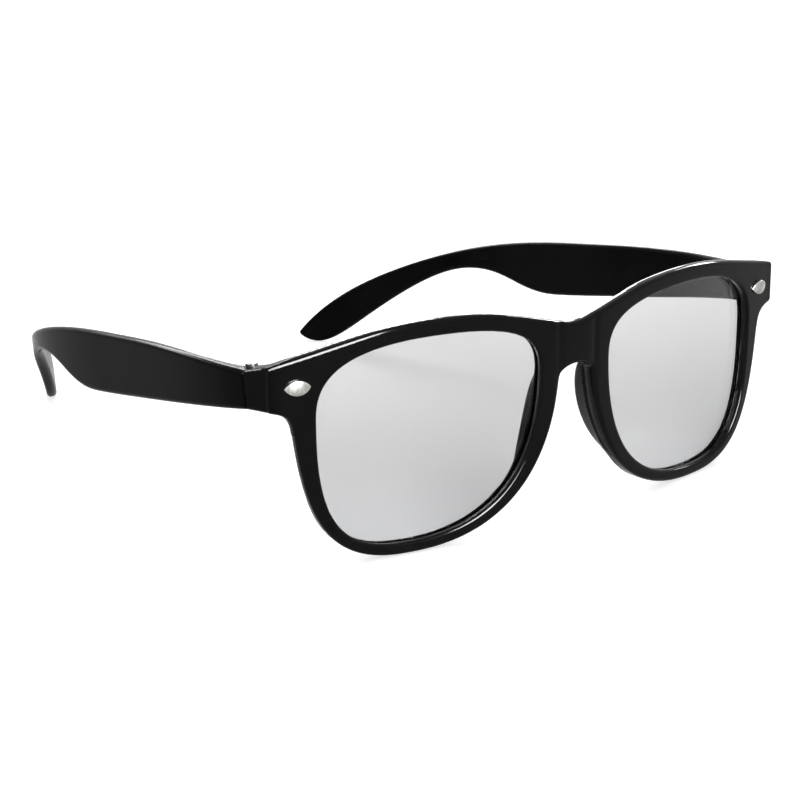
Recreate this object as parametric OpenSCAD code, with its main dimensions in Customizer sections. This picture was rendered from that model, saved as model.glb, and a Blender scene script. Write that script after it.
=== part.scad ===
// Reading glasses with a full-rim moulded plastic frame, two clear lenses,
// metal studs on the end pieces and temples that fold on barrel hinges.
// Millimetres. +Z is up, the front faces -Y, +X is the wearer's left.
// The glasses stand open, on the lowest points of both rims and both temple tips.
// The origin is on the floor, at the middle of the width and of the depth.

/* [Lenses] */
// Width of one lens opening, measured in the lens plane
lens_w = 52; // [46:0.5:58]
// Height of one lens opening
lens_h = 43.5; // [36:0.5:50]
// How far the middle of a lens lies below the line of the studs
lens_drop = 14.8; // [10:0.2:19]
// Thickness of a lens
lens_t = 1.6; // [1.2:0.1:2]
// How far the front of a lens lies behind the face of the frame
lens_inset = 1.9; // [1:0.1:2.1]
// Depth of the groove that holds a lens
groove_depth = 0.7; // [0.4:0.1:1.2]

/* [Front] */
// Distance between the two lens openings
bridge_w = 18.8; // [14:0.2:24]
// Thickness of the front from face to back
frame_t = 4.2; // [3.9:0.1:5]
// Radius of the front's curve across the bridge
bridge_r = 85; // [60:5:160]
// Radius of the front's curve across each lens
face_r = 400; // [250:10:600]
// Rim width above the lens
rim_top = 3.3; // [2:0.1:5]
// Rim width at the temple side of the lens, level with the widest point
rim_side = 4.6; // [2.5:0.1:7]
// Rim width below the lens
rim_bottom = 2.3; // [1.8:0.1:4]
// Rim width at the nose side of the lens
rim_nose = 5; // [3.5:0.1:6.5]
// Height of the bridge's upper edge above the line of the studs
bridge_top = 5; // [3:0.2:7]
// How far the arch over the nose lies below the line of the studs
arch_drop = 4.2; // [2:0.2:5.5]

/* [End pieces] */
// From the lens opening to the outer corner of the front
end_reach = 9.6; // [8.5:0.1:13]
// Height of an end piece's outer corner above the line of the studs
end_top = 4.8; // [3.5:0.1:6]
// Depth of an end piece's outer corner below the line of the studs
end_bottom = 4.8; // [3.5:0.1:6]
// From the face at the outer corner back to the hinge pin
end_depth = 9.4; // [8:0.1:12]
// How much an end piece widens from its corner to the joint
end_flare = 0.7; // [0:0.1:1.5]
// Thickness of an end piece's side wall
wing_t = 4; // [3.4:0.1:5]
// Radius in the inner corner between the front and the side wall
inner_fillet_r = 1.5; // [0.5:0.1:2.5]

/* [Nose pads] */
// How far a nose pad stands out behind the rim
pad_reach = 2.9; // [1:0.1:4]
// Height of a nose pad
pad_h = 23; // [14:0.5:26]
// How far the middle of a nose pad lies below the middle of the lens
pad_drop = 1.5; // [0:0.5:4]
// Angle at which a nose pad opens towards the wearer
pad_splay = 14; // [0:1:25]

/* [Temples] */
// Reach of a temple from the hinge pin to its tip
temple_reach = 140; // [125:1:150]
// Downward slope of a temple and backward lean of its hinge pin
temple_slope = 8; // [5:0.5:10]
// Thickness of a temple
temple_t = 2.5; // [2:0.1:3]
// Thickness of a temple at the joint
root_t = 4.1; // [3.6:0.1:4.5]
// Length over which a temple thins behind the joint
root_run = 20; // [12:1:30]
// Height of a temple above its hinge line at the joint
root_up = 3.8; // [3:0.1:5]
// Height of a temple below its hinge line at the joint
root_down = 4.2; // [3:0.1:5]
// Height of a temple above its hinge line at its deepest place
blade_up = 6.7; // [5.5:0.1:8]
// Height of a temple below its hinge line at its deepest place
blade_down = 7; // [5.5:0.1:8]
// From the temple's tip forward to the notch that lies on the ear
notch_from_tip = 47; // [42:1:52]
// How far the notch's edge lies below the hinge line
notch_down = 1; // [-1:0.1:3]
// How far the upper edge of the tip lies below the hinge line
tip_drop = 17; // [12:0.5:22]
// How far the lowest point of the tip lies below the hinge line
tip_rest_drop = 20.2; // [17:0.1:24]
// From the temple's tip forward to its lowest point
tip_rest_from_tip = 4; // [2:0.5:6]
// How far a temple's side bulges out behind the joint
temple_bulge = 0.9; // [0:0.1:2]
// How far a temple has come in where its inward bend starts
bend_start_in = 1.7; // [0:0.1:4]
// How far a temple has come in at the middle of the bend
bend_mid_in = 18.7; // [10:0.1:22]
// How far a temple has come in at its tip
tip_in = 30; // [20:0.5:35]

/* [Hinges] */
// Depth of the hinge pin inside an end piece's outer face
pin_inset = 3.5; // [3:0.1:4]
// How far the hinge pin lies behind the joint between end piece and temple
pin_setback = 1.6; // [1.5:0.1:2.5]
// How far the middle of the hinge lies below the line of the studs
hinge_drop = 1.6; // [0:0.1:2.5]
// Radius of a hinge knuckle
knuckle_r = 1.5; // [1.3:0.05:1.6]
// Height of a hinge leaf
leaf_h = 6.6; // [5:0.1:7]
// Height of the middle knuckle, on the temple's leaf
middle_knuckle_h = 2.2; // [1.5:0.1:3]
// How far the upper knuckle stands above its leaf
knuckle_rise = 0.7; // [0.3:0.1:1.2]
// Thickness of a hinge leaf
leaf_t = 1; // [0.8:0.1:1.2]
// Length of the end piece's leaf, from the hinge pin
front_leaf_l = 6.2; // [4.5:0.1:7]
// Length of the temple's leaf, from the hinge pin
temple_leaf_l = 8; // [6:0.5:12]
// Angle of the temple's leaf, which follows the thinning inner side
temple_leaf_turn = 11; // [6:0.5:14]
// Radius of the hinge screw's shank
screw_r = 0.7; // [0.5:0.05:0.8]
// Radius of the hinge screw's head
screw_head_r = 1.3; // [1:0.05:1.4]
// Height of the hinge screw's head
screw_head_h = 0.6; // [0.4:0.1:1]
// Width of the slot in the screw's head
slot_w = 0.4; // [0.3:0.05:0.6]
// Depth of the slot in the screw's head
slot_depth = 0.3; // [0.2:0.05:0.35]

/* [Studs] */
// Length of a stud
stud_l = 5.8; // [4:0.1:7]
// Height of a stud
stud_h = 3.1; // [2:0.1:4]
// How far the top of a stud's dome stands out
stud_rise = 0.9; // [0.5:0.1:1.3]
// Thickness of a stud at its points
stud_edge = 0.25; // [0.15:0.05:0.4]
// From the outer corner of the front to the middle of a stud
stud_from_corner = 5.8; // [5:0.1:7]
// Radius of the shank that holds a stud
shank_r = 0.6; // [0.4:0.05:0.8]
// Length of the shank that holds a stud
shank_l = 2.4; // [1.5:0.1:3]

/* [Clearances] */
// Gap around pieces that are fixed in their seats
seat_gap = 0.02; // [0.01:0.01:0.05]
// Gap between the screw's shank and a knuckle's bore
bore_gap = 0.03; // [0.02:0.01:0.08]
// Gap around a knuckle that turns in its pocket
turn_gap = 0.15; // [0.1:0.05:0.3]
// Gap between knuckles
knuckle_gap = 0.06; // [0.04:0.02:0.12]
// Gap between an end piece and its temple when open
joint_gap = 0.1; // [0.06:0.02:0.2]

/* [Hidden] */
// Facets of round pins and bores
$fn = 64;
// Straight steps in each stretch of a curved outline
steps = 14;
// Straight steps across the bridge's curve and across one lens's curve
bridge_steps = 4;
lens_steps = 16;
// How deep a nose pad's root lies in the rim, and its setback from the lens opening's edge
pad_root = -0.6;
pad_edge = 0.2;
// Length by which a cutting or clipping solid passes what it cuts
beyond = 12;
// A smaller length of the same kind, and degrees by which the front's layer passes its corner
just_past = 1;
turn_past = 1;
// Degrees between points of the inner fillet and of a nose pad's oval, and facets of the dome
fillet_step = 15;
pad_step = 10;
dome_facets = 180;

// Lens outline, as shares of the opening's width and height
lens_top_at = 0.49;
lens_side_at = 0.365;
lens_bottom_at = 0.625;
lens_nose_at = 0.257;
// Reaches of its curves before and after each of those points, as the same shares
lens_top_reach = [0.4, 0.53];
lens_side_reach = [0.12, 0.42];
lens_bottom_reach = [0.3, 0.11];
lens_nose_reach = [0.77, 0.16];
// How quickly a rim thins away from its wide places
rim_fade = 3;

// Slopes of the brow line and of the end piece's upper side
brow_angle = 11;
end_angle = 15.5;
// Where the brow line is highest, as a share of the front's half width
brow_peak_at = 0.46;
// Reaches of the brow line's curves at the bridge, at its peak and at the end piece
bridge_reach = 5.6;
peak_reach = 15;
brow_end_reach = 20.5;
// From a lens opening outwards to where the end piece's upper side starts to slope back
slope_from = 5.6;
// The arch's corner: how far it lies in the rim and below the arch, its heading and its reaches
arch_lap = 0.1;
arch_shoulder = 2.1;
arch_heading = -82;
arch_reach = 2;
arch_corner_reach = 1.2;
// Below an end piece the bar's edge goes down to the rim in two steps of this drop
under_step = 0.9;
under_run = 2.4;
under_gap = 0.6;
// How deep the bar's hidden corners lie in a rim
side_lap = 0.2;
arch_side_lap = 0.8;
bar_lap = 3;
// How far a side wall laps into the front, at its outer corner and at its inner fillet
wing_lap = 0.3;
fillet_lap = 0.1;

// Temple's side view: places along it, headings, and reaches before and after each place
root_heading = 7;
root_reach = 26;
blade_top_at = 52;
blade_top_reach = [12, 17];
tip_heading = -47;
tip_reach = [34, 1.6];
tip_rest_reach = [2.6, 8];
notch_reach = [20, 12.5];
blade_under_at = 64;
blade_under_reach = [13, 12];
root_under_heading = 178;
root_under_reach = 15;
// Temple seen from above: the same for its outer side, which runs on past the tip
plan_root_heading = 9;
plan_root_reach = 6;
bulge_at = 12;
bulge_reach = [6, 10];
bend_start_at = 58;
bend_start_heading = -3.3;
bend_start_reach = [20, 40];
bend_mid_from_tip = 19.5;
bend_mid_heading = -33;
bend_mid_reach = [17.5, 8];
plan_tip_heading = -27;
plan_tip_reach = [8, 3];
past_tip = [6, 3];

// Colours of the black plastic, the lenses, the plated metal and the hinges
plastic_colour = [0.09, 0.09, 0.1];
lens_colour = [0.85, 0.88, 0.9, 0.35];
stud_colour = [0.8, 0.8, 0.82];
screw_colour = [0.75, 0.75, 0.77];
hinge_colour = [0.13, 0.13, 0.14];

// Where the front's curve turns from the bridge's arc into a lens's arc
bridge_turn = asin(bridge_w / 2 / bridge_r);
lens_arc_centre = [(bridge_r - face_r) * sin(bridge_turn),
    bridge_r + (face_r - bridge_r) * cos(bridge_turn)];
lens_turn = bridge_turn + asin(lens_w / 2 / face_r);
// How far a lens's edges lie behind its middle on the face
arc_rise = face_r * (1 - cos(asin(lens_w / 2 / face_r)));
lens_z = -lens_drop;
lens_top = lens_z + lens_h / 2;
lens_bottom = lens_z - lens_h / 2;

// Outer corner of the front, on its face
end_x = arc_point(lens_turn + asin(lens_w / 2 / face_r), 0)[0] + end_reach;
end_turn = asin((end_x - lens_arc_centre[0]) / face_r);
end_y = arc_point(end_turn, 0)[1];

// Hinge pin
joint_x = end_x + end_flare;
pin = [joint_x - pin_inset, end_y + end_depth, -hinge_drop];

// Lowest points of the rims and of the temple tips, before the glasses stand
rim_rest = arc_point(lens_turn + asin((lens_bottom_at - 0.5) * lens_w / face_r), 0);
rim_rest_z = lens_bottom - rim_bottom;
tip_rest = at_pin([temple_reach - tip_rest_from_tip, -tip_rest_drop]);
lean = atan((rim_rest_z - tip_rest[1]) / (tip_rest[0] - rim_rest[1]));
floor_z = rim_rest[1] * sin(lean) + rim_rest_z * cos(lean);
front_y = -bridge_top * sin(lean);
back_y = max([for (p = temple_side_line()) stood_y(at_pin(p))]);

// A point of the temple's side view, as [Y, Z] of the front
function at_pin(p) = [pin[1] + p[0] * cos(temple_slope) + p[1] * sin(temple_slope),
    pin[2] - p[0] * sin(temple_slope) + p[1] * cos(temple_slope)];
function stood_y(p) = p[0] * cos(lean) - p[1] * sin(lean);

// Seen from above, a point of a lens's arc at this turn and depth behind the face
function arc_point(turn, depth) = [lens_arc_centre[0] + (face_r - depth) * sin(turn),
    lens_arc_centre[1] - (face_r - depth) * cos(turn)];
function bridge_point(turn, depth) = [(bridge_r - depth) * sin(turn),
    bridge_r - (bridge_r - depth) * cos(turn)];
// Seen from above, the left half of the line at this depth behind the face
function face_line(depth) = concat(
    [for (i = [0 : bridge_steps - 1]) bridge_point(bridge_turn * i / bridge_steps, depth)],
    [for (i = [0 : lens_steps])
        arc_point(bridge_turn + (end_turn + turn_past - bridge_turn) * i / lens_steps, depth)]);

function reversed(list) = [for (i = [len(list) - 1 : -1 : 0]) list[i]];
function flipped(list) = [for (p = list) [-p[0], p[1]]];
// A line's left half, joined to its mirrored right half
function whole(list) = concat(reversed(flipped([for (i = [1 : len(list) - 1]) list[i]])), list);

// Smooth lines are chains of nodes [x, y, heading, reach before, reach after]
function node_at(x, y, heading, before, after) = [x, y, heading, before, after];
function ahead(n, reach) = [n[0] + reach * cos(n[2]), n[1] + reach * sin(n[2])];
function curve_point(a, b, t) = ahead(a, 0) * (1 - t) ^ 3 + 3 * ahead(a, a[4]) * (1 - t) ^ 2 * t
    + 3 * ahead(b, -b[3]) * (1 - t) * t ^ 2 + ahead(b, 0) * t ^ 3;
function curve_way(a, b, t) = 3 * (ahead(a, a[4]) - ahead(a, 0)) * (1 - t) ^ 2
    + 6 * (ahead(b, -b[3]) - ahead(a, a[4])) * (1 - t) * t
    + 3 * (ahead(b, 0) - ahead(b, -b[3])) * t ^ 2;
function left_of(v) = norm(v) > 0 ? [-v[1], v[0]] / norm(v) : [0, 0];
// The chain's points, each moved to the left of its way by a width between its nodes' widths.
// A stretch's fade of more than 1 changes the width near its start, below -1 near its end.
function chain(nodes, widths, fade) = [for (i = [0 : len(nodes) - 2], k = [0 : steps - 1])
    let (t = k / steps, a = nodes[i], b = nodes[i + 1])
    curve_point(a, b, t) + left_of(curve_way(a, b, t)) * mixed(widths[i], widths[i + 1], t, fade[i])];
function mixed(a, b, t, fade) = b + (a - b) * (fade > 0 ? (1 - t) ^ fade : 1 - t ^ -fade);
function plain(nodes) = chain(nodes, [for (n = nodes) 0], [for (n = nodes) 1]);

// Lens opening in the lens plane, clockwise from the top, with the nose at -X
lens_nodes = [
    node_at((lens_top_at - 0.5) * lens_w, lens_h / 2, 0,
        lens_top_reach[0] * lens_w, lens_top_reach[1] * lens_w),
    node_at(lens_w / 2, (0.5 - lens_side_at) * lens_h, -90,
        lens_side_reach[0] * lens_h, lens_side_reach[1] * lens_h),
    node_at((lens_bottom_at - 0.5) * lens_w, -lens_h / 2, 180,
        lens_bottom_reach[0] * lens_w, lens_bottom_reach[1] * lens_w),
    node_at(-lens_w / 2, (0.5 - lens_nose_at) * lens_h, 90,
        lens_nose_reach[0] * lens_h, lens_nose_reach[1] * lens_h),
    node_at((lens_top_at - 0.5) * lens_w, lens_h / 2, 0, lens_top_reach[0] * lens_w, 0)
];
function lens_line(by) = chain(lens_nodes, [by, by, by, by, by], [1, 1, 1, 1]);
// A rim is widest at the side and at the nose
function rim_line() = chain(lens_nodes, [rim_top, rim_side, rim_bottom, rim_nose, rim_top],
    [-rim_fade, rim_fade, -rim_fade, rim_fade]);

// Seen from the front, the left half of the bar that joins the rims and carries the end pieces
arch_corner = [bridge_w / 2 - rim_nose + arch_lap, -arch_drop - arch_shoulder];
rim_side_x = end_x - end_reach + rim_side;
function brow_line() = concat(
    plain([
        node_at(0, bridge_top, 0, 0, bridge_reach),
        node_at(brow_peak_at * end_x, lens_top + rim_top, 0, peak_reach, peak_reach),
        node_at(end_x, end_top, -brow_angle, brow_end_reach, 0)]),
    [[end_x, end_top]]);
function bar_line() = concat(
    brow_line(),
    [[end_x, -end_bottom], [end_x - under_run, -end_bottom - under_step],
        [rim_side_x + under_gap, -end_bottom - 2 * under_step],
        [rim_side_x - side_lap, lens_top - lens_side_at * lens_h],
        [end_x - end_reach, -end_bottom - 2 * under_step],
        [bridge_w / 2, arch_corner[1] - bar_lap],
        [arch_corner[0] + arch_side_lap, arch_corner[1] - bar_lap], arch_corner],
    reversed(plain([
        node_at(0, -arch_drop, 0, 0, arch_reach),
        node_at(arch_corner[0], arch_corner[1], arch_heading, arch_corner_reach, 0)])));

// Temple seen from the side, from the joint along the top to the tip and back below
function temple_side_line() = plain([
    node_at(joint_gap - pin_setback, root_up, root_heading, 0, root_reach),
    node_at(blade_top_at, blade_up, 0, blade_top_reach[0], blade_top_reach[1]),
    node_at(temple_reach, -tip_drop, tip_heading, tip_reach[0], tip_reach[1]),
    node_at(temple_reach - tip_rest_from_tip, -tip_rest_drop, 180 + temple_slope,
        tip_rest_reach[0], tip_rest_reach[1]),
    node_at(temple_reach - notch_from_tip, -notch_down, 180, notch_reach[0], notch_reach[1]),
    node_at(blade_under_at, -blade_down, 180, blade_under_reach[0], blade_under_reach[1]),
    node_at(joint_gap - pin_setback, -root_down, root_under_heading, root_under_reach, 0),
    node_at(joint_gap - pin_setback, root_up, 90, 0, 0)]);
// Temple seen from above, its outer side, as [from the joint's outer face, along the temple]
temple_plan_nodes = [
    node_at(joint_gap - pin_setback, 0, plan_root_heading, 0, plan_root_reach),
    node_at(bulge_at, temple_bulge, 0, bulge_reach[0], bulge_reach[1]),
    node_at(bend_start_at, -bend_start_in, bend_start_heading, bend_start_reach[0], bend_start_reach[1]),
    node_at(temple_reach - bend_mid_from_tip, -bend_mid_in, bend_mid_heading,
        bend_mid_reach[0], bend_mid_reach[1]),
    node_at(temple_reach, -tip_in, plan_tip_heading, plan_tip_reach[0], plan_tip_reach[1]),
    node_at(temple_reach + past_tip[0], -tip_in - past_tip[1], plan_tip_heading, plan_tip_reach[1], 0)];
function temple_width(along) = temple_t + (root_t - temple_t) * max(0, 1 - along / root_run) ^ 2;
function temple_inner_line() = [for (i = [0 : len(temple_plan_nodes) - 2], k = [0 : steps - 1])
    let (t = k / steps, a = temple_plan_nodes[i], b = temple_plan_nodes[i + 1], p = curve_point(a, b, t))
    p - left_of(curve_way(a, b, t)) * temple_width(p[0])];

// Stands the glasses on the floor, over the origin
module standing() {
    translate([0, -(front_y + back_y) / 2, -floor_z])
        rotate([lean, 0, 0])
            children();
}

module both_sides() {
    children();
    mirror([1, 0, 0])
        children();
}

// On the face at this turn of a lens's arc: X across, -Y out of the face
module on_face(turn, z) {
    translate([lens_arc_centre[0], lens_arc_centre[1], z])
        rotate([0, 0, turn])
            translate([0, -face_r, 0])
                children();
}

// At the hinge pin: Z up the pin, Y along the temple, X outwards
module at_hinge() {
    translate(pin)
        rotate([-temple_slope, 0, 0])
            children();
}

// Draws an outline seen from the front, between two distances behind the face
module through(from, to) {
    translate([0, to, 0])
        rotate([90, 0, 0])
            linear_extrude(height = to - from)
                children();
}

// Draws an outline seen from the left, as [Y, Z], between two places across
module across(from, to) {
    translate([from, 0, 0])
        rotate([90, 0, 90])
            linear_extrude(height = to - from)
                children();
}

// The layer of the front between two depths behind its face
module layer(from, to, low, high) {
    translate([0, 0, low])
        linear_extrude(height = high - low)
            polygon(concat(whole(face_line(from)), reversed(whole(face_line(to)))));
}

// One lens-shaped piece of a layer, grown outwards from the lens opening
module lens_layer(from, to, grow) {
    intersection() {
        layer(from, to, lens_bottom - beyond, lens_top + beyond);
        on_face(lens_turn, lens_z)
            through(-beyond, beyond)
                polygon(lens_line(grow));
    }
}

// The bar and both rims, with the lens openings
module front_blank() {
    difference() {
        intersection() {
            layer(0, frame_t, rim_rest_z - beyond, lens_top + beyond);
            union() {
                through(-beyond, end_y + beyond)
                    polygon(whole_outline(bar_line()));
                both_sides()
                    on_face(lens_turn, lens_z)
                        through(-beyond, beyond)
                            polygon(rim_line());
            }
        }
        both_sides()
            on_face(lens_turn, lens_z)
                through(-beyond, beyond)
                    polygon(lens_line(0));
    }
}
function whole_outline(half) = concat(half, reversed(flipped([for (p = half) if (p[0] > 0) p])));

// Side wall of an end piece, from the front back to the joint
module wing() {
    wall_x = joint_x - wing_t;
    back = arc_point(asin((wall_x - lens_arc_centre[0]) / face_r), frame_t);
    difference() {
        intersection() {
            translate([0, 0, -beyond])
                linear_extrude(height = 2 * beyond)
                    polygon(concat(
                        [[end_x, end_y + wing_lap], [joint_x, pin[1]], [joint_x, pin[1] + beyond],
                            [wall_x, pin[1] + beyond]],
                        [for (a = [0 : fillet_step : 90]) [wall_x - inner_fillet_r * (1 - cos(a)),
                            back[1] + inner_fillet_r * (1 - sin(a)) - fillet_lap]],
                        [[wall_x - inner_fillet_r, back[1] - frame_t / 2]]));
            across(0, end_x + beyond)
                polygon([[end_y - frame_t, end_top + just_past], [pin[1] + beyond, end_top + just_past],
                    at_pin([beyond, -root_down]), at_pin([-pin_setback, -root_down]),
                    [end_y, -end_bottom], [end_y - frame_t, -end_bottom]]);
        }
        at_hinge()
            translate([-beyond, -pin_setback, -beyond])
                cube([2 * beyond, 3 * beyond, 2 * beyond]);
    }
}

// What slopes the upper side of an end piece down towards the joint
module end_slope_cut() {
    translate([end_x, end_y, end_top])
        rotate([-end_angle, brow_angle, 0])
            translate([slope_from - end_reach, -frame_t - beyond, 0])
                cube([2 * beyond, 3 * beyond, beyond]);
}

// Pad moulded on the back of the rim beside the nose
module nose_pad() {
    on_face(lens_turn, lens_z)
        translate([-lens_w / 2, frame_t, 0])
            rotate([0, 0, -pad_splay])
                intersection() {
                    translate([lens_w / 2, 0, 0])
                        through(pad_root, pad_root + pad_reach + just_past)
                            difference() {
                                polygon(rim_line());
                                polygon(lens_line(pad_edge));
                            }
                    across(-rim_nose - just_past, lens_w / 5)
                        polygon([for (a = [0 : pad_step : 360 - pad_step])
                            [(pad_reach + arc_rise) * cos(a), -pad_drop + pad_h / 2 * sin(a)]]);
                }
}

// Leaf of the end piece's hinge, grown by a gap where it is cut out as a seat
module front_leaf_plate(gap) {
    translate([pin_inset - wing_t, -front_leaf_l - gap, -leaf_h / 2 - gap])
        cube([leaf_t + gap, front_leaf_l + gap, leaf_h + 2 * gap]);
}
// The same for the temple's leaf
module temple_leaf_plate(gap) {
    rotate([0, 0, -temple_leaf_turn])
        translate([0, 0, -leaf_h / 2 - gap])
            cube([leaf_t + gap, temple_leaf_l + gap, leaf_h + 2 * gap]);
}
// Round bar or bore along Z
module upright(r, low, high) {
    translate([0, 0, low])
        cylinder(r = r, h = high - low);
}

// On the face at a stud's middle: Z out of the face, X along the stud
module stud_seat() {
    on_face(asin((end_x - stud_from_corner - lens_arc_centre[0]) / face_r), 0)
        rotate([90, 0, 0])
            children();
}

module front_frame() {
    color(plastic_colour)
        difference() {
            union() {
                front_blank();
                both_sides()
                    wing();
                both_sides()
                    nose_pad();
            }
            both_sides() {
                lens_layer(lens_inset - seat_gap, lens_inset + lens_t + seat_gap, groove_depth + seat_gap);
                end_slope_cut();
                at_hinge() {
                    front_leaf_plate(seat_gap);
                    upright(knuckle_r + turn_gap, -beyond, beyond);
                }
                stud_seat()
                    upright(shank_r + seat_gap, -shank_l - seat_gap, beyond);
            }
        }
}

module lens() {
    color(lens_colour)
        lens_layer(lens_inset, lens_inset + lens_t, groove_depth);
}

// A pointed oval with a domed top, on a shank
module stud() {
    side_r = (stud_l ^ 2 + stud_h ^ 2) / (4 * stud_h);
    dome_r = ((stud_l / 2) ^ 2 + (stud_rise - stud_edge) ^ 2) / (2 * (stud_rise - stud_edge));
    color(stud_colour)
        stud_seat() {
            intersection() {
                translate([0, side_r - stud_h / 2, seat_gap])
                    cylinder(r = side_r, h = stud_rise);
                translate([0, stud_h / 2 - side_r, seat_gap])
                    cylinder(r = side_r, h = stud_rise);
                translate([0, 0, stud_rise - dome_r])
                    sphere(r = dome_r, $fn = dome_facets);
            }
            upright(shank_r, -shank_l, stud_edge);
        }
}

module front_hinge() {
    upper = leaf_h / 2 + knuckle_rise;
    middle = middle_knuckle_h / 2 + knuckle_gap / 2;
    color(hinge_colour)
        at_hinge()
            difference() {
                union() {
                    front_leaf_plate(0);
                    upright(knuckle_r, -leaf_h / 2, upper);
                }
                upright(knuckle_r + turn_gap, -middle, middle);
                upright(screw_r + bore_gap, -beyond, beyond);
            }
}

module temple_hinge() {
    middle = middle_knuckle_h / 2 - knuckle_gap / 2;
    color(hinge_colour)
        at_hinge()
            difference() {
                union() {
                    difference() {
                        temple_leaf_plate(0);
                        upright(knuckle_r + turn_gap, -beyond, -middle);
                        upright(knuckle_r + turn_gap, middle, beyond);
                    }
                    upright(knuckle_r, -middle, middle);
                }
                upright(screw_r + bore_gap, -beyond, beyond);
            }
}

module hinge_screw() {
    seat = leaf_h / 2 + knuckle_rise;
    color(screw_colour)
        at_hinge()
            difference() {
                union() {
                    upright(screw_r, -leaf_h / 2, seat);
                    upright(screw_head_r, seat, seat + screw_head_h);
                }
                translate([-screw_head_r - just_past, -slot_w / 2, seat + screw_head_h - slot_depth])
                    cube([2 * (screw_head_r + just_past), slot_w, slot_depth + just_past]);
            }
}

module temple() {
    color(plastic_colour)
        at_hinge()
            difference() {
                intersection() {
                    across(-2 * tip_in, pin_inset + beyond)
                        polygon(temple_side_line());
                    translate([pin_inset, 0, -2 * tip_rest_drop])
                        linear_extrude(height = 4 * tip_rest_drop)
                            polygon([for (p = concat(plain(temple_plan_nodes),
                                reversed(temple_inner_line()))) [p[1], p[0]]]);
                }
                upright(knuckle_r + turn_gap, -beyond, beyond);
                translate([-beyond, -beyond, -beyond])
                    cube([beyond, beyond, 2 * beyond]);
                temple_leaf_plate(seat_gap);
            }
}

standing() front_frame();
standing() mirror([1, 0, 0]) lens();  // right_lens
standing() lens();  // left_lens
standing() mirror([1, 0, 0]) stud();  // right_stud
standing() stud();  // left_stud
standing() mirror([1, 0, 0]) temple();  // right_temple
standing() temple();  // left_temple
standing() mirror([1, 0, 0]) front_hinge();  // right_front_hinge
standing() front_hinge();  // left_front_hinge
standing() mirror([1, 0, 0]) temple_hinge();  // right_temple_hinge
standing() temple_hinge();  // left_temple_hinge
standing() mirror([1, 0, 0]) hinge_screw();  // right_hinge_screw
standing() hinge_screw();  // left_hinge_screw
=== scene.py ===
# %% [markdown]
# # Reading glasses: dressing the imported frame
# The glasses arrive as a set of exact but sharp-edged solids: one front, two lenses,
# two studs, two temples and the small hinge parts. This lesson keeps their places and sizes
# and gives the moulded plastic its rounded edges, the lenses their glass and every metal
# piece its finish. The first cell only loads the solids and remembers the box they fill.

# %% Load the frame
import math
import bpy
import numpy as np
from mathutils import Matrix, Vector


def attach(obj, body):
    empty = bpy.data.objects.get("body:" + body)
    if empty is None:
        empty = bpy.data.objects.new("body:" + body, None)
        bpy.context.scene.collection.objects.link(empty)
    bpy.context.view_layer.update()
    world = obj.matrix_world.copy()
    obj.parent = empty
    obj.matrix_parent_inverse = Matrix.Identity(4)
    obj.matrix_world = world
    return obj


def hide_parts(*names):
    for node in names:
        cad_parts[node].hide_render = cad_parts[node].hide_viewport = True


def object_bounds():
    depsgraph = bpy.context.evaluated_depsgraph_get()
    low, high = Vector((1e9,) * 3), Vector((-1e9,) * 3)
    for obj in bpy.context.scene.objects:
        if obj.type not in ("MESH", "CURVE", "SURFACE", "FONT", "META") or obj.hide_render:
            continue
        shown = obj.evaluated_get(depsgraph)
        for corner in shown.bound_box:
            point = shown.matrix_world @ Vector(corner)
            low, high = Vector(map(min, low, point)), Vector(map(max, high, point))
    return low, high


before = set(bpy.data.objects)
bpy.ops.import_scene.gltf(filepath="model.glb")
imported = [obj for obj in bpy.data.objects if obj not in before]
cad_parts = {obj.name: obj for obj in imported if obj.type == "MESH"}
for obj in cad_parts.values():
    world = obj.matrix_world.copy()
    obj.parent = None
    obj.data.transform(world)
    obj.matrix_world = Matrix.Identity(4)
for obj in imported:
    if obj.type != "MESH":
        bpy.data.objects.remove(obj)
cad_low, cad_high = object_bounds()
print("CAD box, mm:", [round(1000 * v, 2) for v in (*cad_low, *cad_high)])

# %% [markdown]
# ## The sizes
# A pair of glasses is drawn from the wearer's face outwards: the lens openings first, then
# the rims round them, the bridge between them and the end pieces that carry the temples.
# The sizes could be read back from the solids, but a maker would rather write them down.
# They are in millimetres, with the origin on the face of the bridge, level with the studs,
# +X towards the wearer's left and -Y out of the face.

# %% Sizes of the front
LENS_W, LENS_H, LENS_DROP = 52.0, 43.5, 14.8
LENS_T, LENS_INSET, GROOVE = 1.6, 1.9, 0.7
BRIDGE_W, FRAME_T, BRIDGE_R, FACE_R = 18.8, 4.2, 85.0, 400.0
RIM_TOP, RIM_SIDE, RIM_BOTTOM, RIM_NOSE = 3.3, 4.6, 2.3, 5.0
BRIDGE_TOP, ARCH_DROP = 5.0, 4.2
END_REACH, END_TOP, END_BOTTOM, END_DEPTH, END_FLARE = 9.6, 4.8, 4.8, 9.4, 0.7
WING_T, CORNER_FILLET = 4.0, 1.5
BROW_ANGLE, END_ANGLE, BROW_PEAK_AT = 11.0, 15.5, 0.46
LENS_TOP_AT, LENS_SIDE_AT, LENS_BOTTOM_AT, LENS_NOSE_AT = 0.49, 0.365, 0.625, 0.257

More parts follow.
